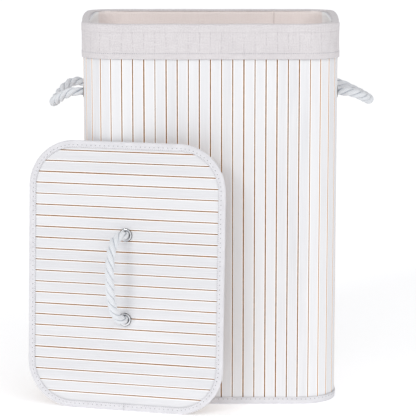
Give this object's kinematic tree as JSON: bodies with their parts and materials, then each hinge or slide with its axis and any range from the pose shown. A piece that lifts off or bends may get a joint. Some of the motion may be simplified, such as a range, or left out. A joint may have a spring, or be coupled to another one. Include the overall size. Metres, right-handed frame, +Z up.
{
  "type": "laundry hamper with lid",
  "caption": "Upright rounded-box laundry hamper of white bamboo slats with a cloth liner folded over its rim, rope handles and a loose slatted lid leaning on its front.",
  "frame": {"origin": "centre of the hamper's underside, on the floor, midway between its walls", "axes": "+X to the hamper's right along its long side, +Y to the back, +Z up"},
  "size_m": [0.552, 0.3807, 0.604],
  "materials": {
    "slat_white": "white-stained bamboo, satin, fine lengthwise grain",
    "backing_cloth": "tan non-woven cloth glued behind the slats",
    "binding_tape": "white woven twill tape with stitched edges",
    "liner_cloth": "soft off-white cotton, matt",
    "cuff_cloth": "off-white linen-look plain weave, matt",
    "rope": "white three-strand cotton rope, matt",
    "eyelet_steel": "bright nickel-plated steel",
    "hoop_steel": "plain spring-steel wire",
    "base_board": "pale fibreboard, matt"
  },
  "bodies": {
    "hamper": {"wall_slats_corner_back_right": "slat_white", "wall_slats_back": "slat_white", "wall_slats_corner_back_left": "slat_white", "wall_slats_left": "slat_white", "wall_slats_corner_front_left": "slat_white", "wall_slats_front": "slat_white", "wall_slats_corner_front_right": "slat_white", "wall_slats_right": "slat_white", "wall_backing_cloth": "backing_cloth", "wall_seam_tape": "binding_tape", "top_binding_tape": "binding_tape", "bottom_binding_tape": "binding_tape", "top_hoop_wire": "hoop_steel", "bottom_hoop_wire": "hoop_steel", "base_board": "base_board", "left_handle_eyelet_front": "eyelet_steel", "left_handle_washer_front": "eyelet_steel", "left_handle_knot_front": "rope", "left_handle_eyelet_back": "eyelet_steel", "left_handle_washer_back": "eyelet_steel", "left_handle_knot_back": "rope", "right_handle_eyelet_front": "eyelet_steel", "right_handle_washer_front": "eyelet_steel", "right_handle_knot_front": "rope", "right_handle_eyelet_back": "eyelet_steel", "right_handle_washer_back": "eyelet_steel", "right_handle_knot_back": "rope"},
    "left_handle": {"left_handle_rope": "rope"},
    "right_handle": {"right_handle_rope": "rope"},
    "liner": {"liner_cuff": "cuff_cloth", "liner_side_cloth": "liner_cloth", "liner_base_cloth": "liner_cloth"},
    "lid": {"lid_slats": "slat_white", "lid_backing_cloth": "backing_cloth", "lid_binding_tape": "binding_tape", "lid_hoop_wire": "hoop_steel", "lid_handle_eyelet_lower": "eyelet_steel", "lid_handle_washer_lower": "eyelet_steel", "lid_handle_knot_lower": "rope", "lid_handle_eyelet_upper": "eyelet_steel", "lid_handle_washer_upper": "eyelet_steel", "lid_handle_knot_upper": "rope"},
    "lid_handle": {"lid_handle_rope": "rope"}
  },
  "joints": [
    {"name": "left_handle_swing", "type": "hinge", "parent": "hamper", "child": "left_handle", "pos_m": [-0.209, 0, 0.49], "axis": [0, 1, 0], "range_deg": [-47, 82]},
    {"name": "right_handle_swing", "type": "hinge", "parent": "hamper", "child": "right_handle", "pos_m": [0.209, 0, 0.49], "axis": [0, -1, 0], "range_deg": [-54, 97]},
    {"name": "liner_lift", "type": "slide", "parent": "hamper", "child": "liner", "axis": [0, 0, 1], "range_m": [0, 0.62]},
    {"name": "lid_lift", "type": "slide", "parent": "hamper", "child": "lid", "axis": [0, -0.0995, 0.995], "range_m": [0, 0.65]},
    {"name": "lid_handle_swing", "type": "hinge", "parent": "lid", "child": "lid_handle", "pos_m": [-0.135, -0.1867, 0.21192], "axis": [0.0155, 0.059, 0.9981], "range_deg": [-62, 90]}
  ]
}
